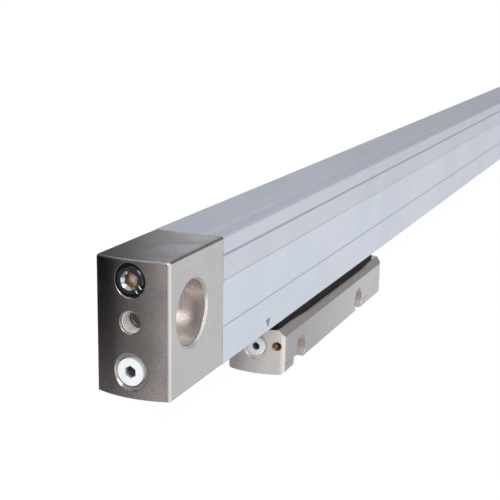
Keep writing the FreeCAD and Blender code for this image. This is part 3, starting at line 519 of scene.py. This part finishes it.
def cut_thread():
    """Bright tapped thread: light crests, painted shade in the roots."""
    material = metal("cut_thread", rgb(0.92, 0.89, 0.88), rgb(0.97, 0.95, 0.94),
                     (0.30, 0.22), 5.0, 0.002)
    tree, shader, colour = opened(material)
    shader.inputs["Metallic"].default_value = 0.1
    crest = beside_axis(tree, "X", mounts["near_accessory_thread"]["pos_m"],
                        ACCESSORY_CREST + ROOT_SHADE_MARGIN)
    # Painted shade in the thread roots.
    set_colour(shader, blend_colours(tree, crest, rgb(0.16, 0.10, 0.08), colour))
    return material


def anodised_aluminium():
    """Extruded and anodised: cool grey, matt, with faint die lines along the length."""
    material, tree, shader = new_finish("anodised_aluminium")
    lines = use(tree, LINES, 2.2)
    marks = use(tree, MARKS, 0.03)
    grain = use(tree, GRAIN, 3.0)
    edges = use(tree, EDGES, 0.25)
    height = object_axes(tree)["Z"]
    front = facing(tree, (0, -1, 0), 0.2, 0.5)
    top_shade = facing(tree, (0, 0, 1), 0.8, 0.95)
    field = times(tree, rescale(tree, height, *FIELD_FADE), front)
    tone = weighted(tree, lines["Streak"], 0.5, marks["Patch"], 0.5)
    colour = blend_colours(tree, tone, rgb(0.67, 0.715, 0.80), rgb(0.72, 0.765, 0.85))
    # Painted highlight along the edges.
    colour = blend_colours(tree, edges["Edge"], colour, rgb(0.80, 0.84, 0.90))
    colour = tint(tree, field, colour, rgb(1.10, 1.10, 1.10))
    # Painted shade: upward faces a little darker.
    colour = tint(tree, top_shade, colour, rgb(0.93, 0.93, 0.955))
    # Painted shade darkens the grooves along the front.
    for line_height, strength in GROOVE_SHADE_LINES:
        from_line = math_node(tree, "ABSOLUTE",
                              math_node(tree, "SUBTRACT", height, line_height))
        groove_shade = rescale(tree, from_line, *GROOVE_FADE, 0.0, strength)
        colour = tint(tree, times(tree, groove_shade, front), colour, rgb(0.42, 0.45, 0.52))
    set_colour(shader, colour)
    set_gloss(shader, rescale(tree, tone, 0.0, 1.0, 0.52, 0.42))
    shader.inputs["Metallic"].default_value = 0.4
    relief = math_node(tree, "ADD", lines["Height"], times(tree, grain["Height"], 0.5))
    set_bump(tree, shader, relief, 0.002, Normal=edges["Normal"])
    return material


def painted_glints(tree, middle):
    """Short strokes of painted highlight on a screw head's ring."""
    masks = []
    for across, up, turn in GLINT_STROKES:
        centre = middle + Vector((0.0, across, up)) * MM
        moved = add(tree, "ShaderNodeVectorMath", {0: object_place(tree), 1: centre},
                    operation="SUBTRACT")
        turned = add(tree, "ShaderNodeVectorRotate",
                     {"Vector": moved.outputs[0], "Angle": math.radians(turn)},
                     rotation_type="X_AXIS")
        axes = add(tree, "ShaderNodeSeparateXYZ", {0: turned.outputs[0]}).outputs
        sides = [math_node(tree, "ABSOLUTE", axes[letter]) for letter in "YZ"]
        masks.append(times(tree, rescale(tree, sides[0], *GLINT_WIDTH_FADE),
                           rescale(tree, sides[1], *GLINT_LENGTH_FADE)))
    return any_of(tree, *masks)


def polished_steel():
    """Turned screw heads: a dark polished ring, a bright dish and a golden socket. Painted shade
    darkens the head's outer edge and the socket's sides; painted highlight strokes lie on the
    ring.
    """
    material, tree, shader = new_finish("polished_steel")
    grain = use(tree, GRAIN, 3.0)
    marks = use(tree, MARKS, 1.6)
    colour = blend_colours(tree, grain["Fleck"], grey(0.22, -0.08), grey(0.34, -0.08))
    pit = blend_colours(tree, marks["Patch"], rgb(0.60, 0.58, 0.56), WHITE)
    dull_places = []
    for node, inward in SCREWS:
        middle = middle_of(node)
        depth = behind_face(tree, node, inward)
        ring, disc, centre = (beside_axis(tree, "X", middle, radius)
                              for radius in (RING_RADIUS, DISH_RADIUS, PIT_RADIUS))
        head = rescale(tree, depth, *HEAD_BACK)
        dish = times(tree, head, rescale(tree, depth, *DISH_TOP), disc)
        socket = times(tree, dish, rescale(tree, depth, *SOCKET_TOP))
        socket_floor = times(tree, socket, rescale(tree, depth, *SOCKET_FLOOR))
        glint_marks = times(tree, head, painted_glints(tree, middle))
        upper = rescale(tree, object_axes(tree)["Z"], middle.z + SOCKET_SHADE[0],
                        middle.z + SOCKET_SHADE[1])
        # Painted shade in the socket, darker towards its upper side.
        socket_wall_shade = blend_colours(tree, upper, rgb(0.22, 0.12, 0.055), rgb(0.02, 0.012, 0.01))
        golden_pit = blend_colours(tree, centre, rgb(0.66, 0.48, 0.24), pit)
        # Painted shade on the head's outer edge, where it meets the gap round it.
        head_edge_shade = times(tree, math_node(tree, "SUBTRACT", 1.0, ring), head)
        colour = tint(tree, head_edge_shade, colour, rgb(0.3, 0.3, 0.32))
        colour = blend_colours(tree, dish, colour, rgb(0.90, 0.91, 0.93))
        colour = blend_colours(tree, socket, colour, socket_wall_shade)
        colour = blend_colours(tree, socket_floor, colour, golden_pit)
        # Painted highlight strokes on the ring.
        colour = blend_colours(tree, glint_marks, colour, rgb(0.98, 0.98, 0.98))
        dull_places += [socket, glint_marks]
    set_colour(shader, colour)
    set_gloss(shader, rescale(tree, marks["Patch"], 0.0, 1.0, 0.08, 0.14))
    tree.links.new(rescale(tree, any_of(tree, *dull_places), 0.0, 1.0, 1.0, 0.3),
                   shader.inputs["Metallic"])
    set_bump(tree, shader, grain["Height"], 0.0008)
    return material


def plug_plastic():
    """White plugs; the sockets in their heads lie in shade and look nearly black."""
    material = moulded("white_plastic", rgb(0.82, 0.835, 0.87), rgb(0.89, 0.90, 0.925),
                       (0.34, 0.26), 3.0, 0.002)
    tree, shader, colour = opened(material)
    for node, inward, radius in PLUG_SOCKETS:
        depth = behind_face(tree, node, inward)
        shade = times(tree, beside_axis(tree, "X", middle_of(node), radius),
                      rescale(tree, depth, *PLUG_SHADE, 0.15, 1.0),
                      rescale(tree, depth, *PLUG_BRIM), rescale(tree, depth, *PLUG_FLOOR))
        colour = blend_colours(tree, shade, colour, rgb(0.09, 0.09, 0.095))
    set_colour(shader, colour)
    return material


def clear(name, shade, rough):
    """Glass or clear resin, with faint wipe marks in its gloss."""
    material, tree, shader = new_finish(name)
    patch = use(tree, MARKS, 0.2)["Patch"]
    set_colour(shader, blend_colours(tree, patch, shade, WHITE))
    set_gloss(shader, rescale(tree, patch, 0.0, 1.0, rough, rough + 0.06))
    shader.inputs["Transmission Weight"].default_value = 0.9
    shader.inputs["IOR"].default_value = 1.5
    return material


def graduated_glass():
    """The scale's glass, with its fine chrome graduation as dark lines across the length."""
    material = clear("graduated_glass", rgb(0.78, 0.90, 0.86), 0.03)
    tree, shader, colour = opened(material)
    waves = add(tree, "ShaderNodeTexWave",
                {"Vector": stretched_place(tree, (1.0, 0.0, 0.0)), "Scale": GRADUATION})
    lines = rescale(tree, waves.outputs["Fac"], 0.4, 0.6)
    set_colour(shader, blend_colours(tree, lines, colour, rgb(0.25, 0.28, 0.28)))
    return material


# Plain finishes: dark tone, light tone, the roughness of each, grain per mm, its depth in mm, and
# for one the strength of its painted edge highlight.
METALS = {
    "spring_steel": (grey(0.40, -0.05), grey(0.50, -0.05), (0.30, 0.20), 2.0, 0.001),
    # Brass here is darker than its own tone: painted shade of the hole that the bush lines.
    "brass": (rgb(0.30, 0.15, 0.055), rgb(0.56, 0.31, 0.12), (0.32, 0.20), 4.0, 0.003),
    "gold_contact": (rgb(0.78, 0.56, 0.20), rgb(0.92, 0.70, 0.30), (0.22, 0.15), 4.0, 0.001),
    "carriage_aluminium": (grey(0.10), grey(0.16), (0.48, 0.35), 4.0, 0.004, 0.12),
}
MOULDINGS = {
    "seal_rubber": (grey(0.006), grey(0.012), (0.75, 0.65), 4.0, 0.006),
    "lip_rubber": (grey(0.006), grey(0.012), (0.70, 0.60), 4.0, 0.006),
    "gasket_fibre": (grey(0.36), grey(0.46), (0.80, 0.70), 5.0, 0.010),
    "elastic_adhesive": (rgb(0.60, 0.58, 0.52), rgb(0.72, 0.70, 0.64), (0.55, 0.45), 2.0, 0.010),
    "circuit_board": (rgb(0.02, 0.12, 0.06), rgb(0.04, 0.20, 0.10), (0.35, 0.28), 2.0, 0.004),
    "lead_film": (rgb(0.42, 0.22, 0.05), rgb(0.58, 0.34, 0.08), (0.35, 0.28), 2.0, 0.002),
    "sensor_silicon": (rgb(0.05, 0.05, 0.09), rgb(0.10, 0.10, 0.15), (0.15, 0.10), 2.0, 0.001),
    "mark_ink": (rgb(0.20, 0.22, 0.30), rgb(0.26, 0.28, 0.37), (0.60, 0.50), 6.0, 0.002),
}
FINISHES = {
    "anodised_aluminium": anodised_aluminium(),
    "nickel_plate": nickel_plate(),
    "satin_plate": satin_plate(),
    "cut_thread": cut_thread(),
    "polished_steel": polished_steel(),
    "white_plastic": plug_plastic(),
    "scale_glass": graduated_glass(),
    "clear_plastic": clear("clear_plastic", rgb(0.90, 0.93, 0.96), 0.06),
    **{name: metal(name, *values) for name, values in METALS.items()},
    **{name: moulded(name, *values) for name, values in MOULDINGS.items()},
}
for rubber in ("seal_rubber", "lip_rubber"):
    shader = FINISHES[rubber].node_tree.nodes["Principled BSDF"]
    shader.inputs["Specular IOR Level"].default_value = 0.2

# Each solid takes the finish of its slot. The scanning unit's shells are plated duller.
for part in frame["record"]["subparts"]:
    held = nodes[part["node"]].data
    held.materials.clear()
    satin = part["node"] in ("unit_body", "unit_bottom_cover")
    held.materials.append(FINISHES["satin_plate" if satin else part["material_slot"]])


# Pieces that the solids leave out: thread ridges and the printed mark.

def mesh_object(name, mesh, material):
    data = bpy.data.meshes.new(name)
    mesh.to_mesh(data)
    mesh.free()
    data.materials.append(material)
    piece = bpy.data.objects.new(name, data)
    bpy.context.scene.collection.objects.link(piece)
    return piece


def finish_piece(name, mesh, body, finish):
    bmesh.ops.recalc_face_normals(mesh, faces=mesh.faces)
    mesh.normal_update()
    piece = mesh_object(name, mesh, FINISHES[finish])
    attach(piece, body)


def thread_ridge(mouth, inward, wall, crest, pitch, length):
    """Helical ridge of a tapped hole. mouth is on the hole's axis, inward is +1 or -1 along X."""
    steps = int(length / pitch * STEPS_PER_TURN)
    profile = [(-RIDGE_FOOT, wall), (-RIDGE_TOP, crest), (RIDGE_TOP, crest), (RIDGE_FOOT, wall)]
    mesh = bmesh.new()
    rings = []
    for step in range(steps + 1):
        angle = 2 * math.pi * step / STEPS_PER_TURN
        along = step * pitch / STEPS_PER_TURN
        fade = min(1.0, RIDGE_START + 3 * step / STEPS_PER_TURN,
                   (steps - step) / STEPS_PER_TURN)
        ring = []
        for offset, radius in profile:
            reach = wall + (radius - wall) * fade
            x = mouth.x + inward * (along + (offset + 0.5) * pitch)
            ring.append(mesh.verts.new((x, mouth.y + reach * math.cos(angle),
                                        mouth.z + reach * math.sin(angle))))
        rings.append(ring)
    for before, after in zip(rings, rings[1:]):
        for index in range(4):
            following = (index + 1) % 4
            mesh.faces.new((before[index], before[following], after[following], after[index]))
    mesh.faces.new(rings[0])
    mesh.faces.new(reversed(rings[-1]))
    return mesh


def threads():
    """Ridges of both accessory threads and of the scanning unit's thread bush."""
    for end, inward in (("near", 1), ("far", -1)):
        mount = mounts[end + "_accessory_thread"]
        block_low, block_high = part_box(end + "_end_block")
        mouth = Vector(mount["pos_m"])
        mouth.x = (block_low.x if inward > 0 else block_high.x) + inward * ACCESSORY_INSET
        ridge = thread_ridge(mouth, inward, mount["dims"]["r_mm"] * MM, ACCESSORY_CREST,
                             ACCESSORY_PITCH, ACCESSORY_LENGTH)
        finish_piece(end + "_accessory_thread_ridge", ridge, "scale_unit",
                     "cut_thread")
    mouth = middle_of("thread_bush")
    mouth.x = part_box("thread_bush")[0].x + BUSH_INSET
    ridge = thread_ridge(mouth, 1, BUSH_WALL, BUSH_CREST, BUSH_PITCH, BUSH_LENGTH)
    finish_piece("bush_thread_ridge", ridge, "scanning_unit", "brass")


def rest_position_mark():
    """Small printed triangle on the housing's side that shows the end of travel."""
    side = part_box("housing_profile")[0].y
    mesh = bmesh.new()
    outline = [(MARK_X - MARK_HALF_WIDTH, MARK_TOP), (MARK_X, MARK_TIP),
               (MARK_X + MARK_HALF_WIDTH, MARK_TOP)]
    face = mesh.faces.new([mesh.verts.new((x, side, z)) for x, z in outline])
    lifted = bmesh.ops.extrude_face_region(mesh, geom=[face])
    moved = [v for v in lifted["geom"] if isinstance(v, bmesh.types.BMVert)]
    bmesh.ops.translate(mesh, verts=moved, vec=(0, -MARK_PROUD, 0))
    finish_piece("rest_position_mark", mesh, "scale_unit", "mark_ink")


threads()
rest_position_mark()


# The studio.

# The floor is a disc below the object. Its glow is stronger to the camera than to other rays.
FLOOR_RADIUS = 40.0
FLOOR_MIDDLE_X = 0.2
FLOOR_DROP = 0.2 * MM
FLOOR_GLOW = 1.06
GLOW_SHARES = 0.4, 0.9


def floor():
    """Light table that keeps a faint shadow of the scanning unit and is open from below."""
    mesh = bmesh.new()
    bmesh.ops.create_circle(
        mesh, cap_ends=True, segments=64, radius=FLOOR_RADIUS,
        matrix=Matrix.Translation((FLOOR_MIDDLE_X, 0.0, cad_box[0].z - FLOOR_DROP)))
    mesh.normal_update()
    for face in mesh.faces:
        if face.normal.z < 0:
            face.normal_flip()
    material, tree, shader = new_finish("floor_white")
    shader.inputs["Base Color"].default_value = rgb(0.9, 0.9, 0.9)
    shader.inputs["Roughness"].default_value = 0.9
    glow = add(tree, "ShaderNodeEmission", {"Color": WHITE, "Strength": FLOOR_GLOW})
    to_camera = add(tree, "ShaderNodeLightPath").outputs["Is Camera Ray"]
    lit = add(tree, "ShaderNodeMixShader",
              {0: rescale(tree, to_camera, 0.0, 1.0, *GLOW_SHARES), 1: shader.outputs[0],
               2: glow.outputs[0]})
    open_below = add(tree, "ShaderNodeMixShader",
                     {0: add(tree, "ShaderNodeNewGeometry").outputs["Backfacing"],
                      1: lit.outputs[0],
                      2: add(tree, "ShaderNodeBsdfTransparent").outputs[0]})
    tree.links.new(open_below.outputs[0], tree.nodes["Material Output"].inputs["Surface"])
    piece = mesh_object("studio_floor", mesh, material)
    piece.visible_glossy = False


# Brightness of the surround by bearing, in degrees from +X towards +Y: light panels stand in
# front of the scale (-Y), dark cards behind it. One row is for falling rays, one for rising.
SURROUND_LOW = [(-180, 0.256), (-172, 0.352), (-160, 0.448), (-140, 0.6), (-112, 0.8),
                (-70, 0.8), (-25, 0.68), (20, 0.576), (45, 0.42), (80, 0.42), (92, 0.3),
                (100, 0), (124, 0), (128, 0.01), (133, 0.032), (141, 0.076), (149, 0.108),
                (156, 0.12), (163, 0.136), (170, 0.168), (176, 0.208), (180, 0.256)]
SURROUND_HIGH = [(-180, 0.24), (-140, 0.48), (-95, 0.68), (-60, 0.48), (-35, 0.208),
                 (-20, 0.16), (10, 0.336), (24.5, 0.48), (26.9, 0.44), (27.7, 0.336),
                 (28.5, 0.184), (29.3, 0.096), (30.5, 0.056), (36, 0.064), (60, 0.16),
                 (90, 0.16), (110, 0.064), (150, 0.128), (180, 0.24)]

# A ray's rise where an effect starts and where it is full, and the level at each.
FALLING_TO_RISING = -0.1, 0.2, 0.0, 1.0
TABLE_EDGE = -0.34, -0.41, 0.0, 0.38
UNDER_TABLE = -0.36, -0.70, 1.0, 0.22
OVERHEAD = 0.55, 0.9, 0.0, 0.48

# The table's edge shows only in rays that go back, from this share along Y to that.
BEHIND_SCALE = -0.3, 0.1

# The soft box as metal reflects it, by the cosine to its middle, and the light that falls on
# everything else, a little stronger from one side.
BOX_WAY = Vector((-0.70, -0.44, 0.56)).normalized()
BOX_GLINT = 0.92, 0.98, 0.0, 3.3
PLAIN_SIDE = Vector((-0.55, -0.75, -0.35))
PLAIN_LIGHT = -1.0, 1.0, 0.499, 0.851

# The lamp in the soft box.
LAMP_WAY = Vector((-0.72, -0.38, 0.52)).normalized()
LAMP_DISTANCE = 0.8
LAMP_SIZE = 0.35
LAMP_WATTS = 2.4


def ramp_by_bearing(tree, bearing, row):
    """Level between the stops of a surround row."""
    turn = rescale(tree, bearing, -math.pi, math.pi)
    ramp = add(tree, "ShaderNodeValToRGB", {0: turn})
    elements = ramp.color_ramp.elements
    while len(elements) < len(row):
        elements.new(0.5)
    for element, (degrees, level) in zip(elements, row):
        element.position = (degrees + 180) / 360
        element.color = rgb(level, level, level)
    return ramp.outputs["Color"]


def studio():
    """White room for the camera, with soft panels and dark cards that metal reflects."""
    world = bpy.data.worlds.new("studio")
    bpy.context.scene.world = world
    world.use_nodes = True
    tree = world.node_tree
    tree.nodes.clear()
    way = add(tree, "ShaderNodeTexCoord").outputs["Generated"]
    axes = add(tree, "ShaderNodeSeparateXYZ", {0: way}).outputs
    bearing = math_node(tree, "ARCTAN2", axes["Y"], axes["X"])
    rows = (ramp_by_bearing(tree, bearing, row) for row in (SURROUND_LOW, SURROUND_HIGH))
    rising = rescale(tree, axes["Z"], *FALLING_TO_RISING, smooth=True)
    behind = rescale(tree, axes["Y"], *BEHIND_SCALE, smooth=True)
    table_edge, under, overhead = (rescale(tree, axes["Z"], *span, smooth=True)
                                   for span in (TABLE_EDGE, UNDER_TABLE, OVERHEAD))
    to_box, to_side = (add(tree, "ShaderNodeVectorMath", {0: way, 1: aim},
                           operation="DOT_PRODUCT").outputs["Value"]
                       for aim in (BOX_WAY, PLAIN_SIDE))
    glint = rescale(tree, to_box, *BOX_GLINT, smooth=True)
    plain = rescale(tree, to_side, *PLAIN_LIGHT)
    reflected = math_node(tree, "ADD", blend_colours(tree, rising, *rows),
                          times(tree, table_edge, behind))
    reflected = math_node(tree, "MAXIMUM", times(tree, reflected, under), overhead)
    reflected = math_node(tree, "MAXIMUM", reflected, glint)
    path = add(tree, "ShaderNodeLightPath").outputs
    straight = math_node(tree, "MAXIMUM", path["Is Camera Ray"], path["Is Transmission Ray"])
    level = blend_values(tree, path["Is Glossy Ray"], plain, reflected)
    level = blend_values(tree, straight, level, 1.0)
    light = add(tree, "ShaderNodeBackground", {"Color": WHITE, "Strength": level})
    add(tree, "ShaderNodeOutputWorld", {"Surface": light.outputs[0]})


def soft_lamp():
    """Soft box up and to the left of the near end. It lights the surfaces, but metal doesn't
    reflect it.
    """
    data = bpy.data.lights.new("soft_box", "AREA")
    data.shape = "SQUARE"
    data.size = LAMP_SIZE
    data.energy = LAMP_WATTS
    made = bpy.data.objects.new("soft_box", data)
    made.visible_glossy = False
    bpy.context.scene.collection.objects.link(made)
    turn = LAMP_WAY.to_track_quat("Z", "Y").to_matrix().to_4x4()
    made.matrix_world = Matrix.Translation(LAMP_WAY * LAMP_DISTANCE) @ turn


def camera():
    forward = Vector((math.cos(PITCH) * math.cos(HEADING), math.cos(PITCH) * math.sin(HEADING),
                      math.sin(PITCH)))
    level_right = forward.cross(Vector((0, 0, 1))).normalized()
    level_up = level_right.cross(forward)
    right = level_right * math.cos(ROLL) + level_up * math.sin(ROLL)
    up = right.cross(forward)
    data = bpy.data.cameras.new("camera")
    data.lens = LENS
    data.sensor_width = SENSOR
    data.clip_start = 10 * MM
    made = bpy.data.objects.new("camera", data)
    bpy.context.scene.collection.objects.link(made)
    columns = Matrix((right, up, -forward)).transposed().to_4x4()
    made.matrix_world = Matrix.Translation(EYE) @ columns
    bpy.context.scene.camera = made


floor()
studio()
soft_lamp()
camera()
bpy.context.scene.view_settings.view_transform = "Standard"
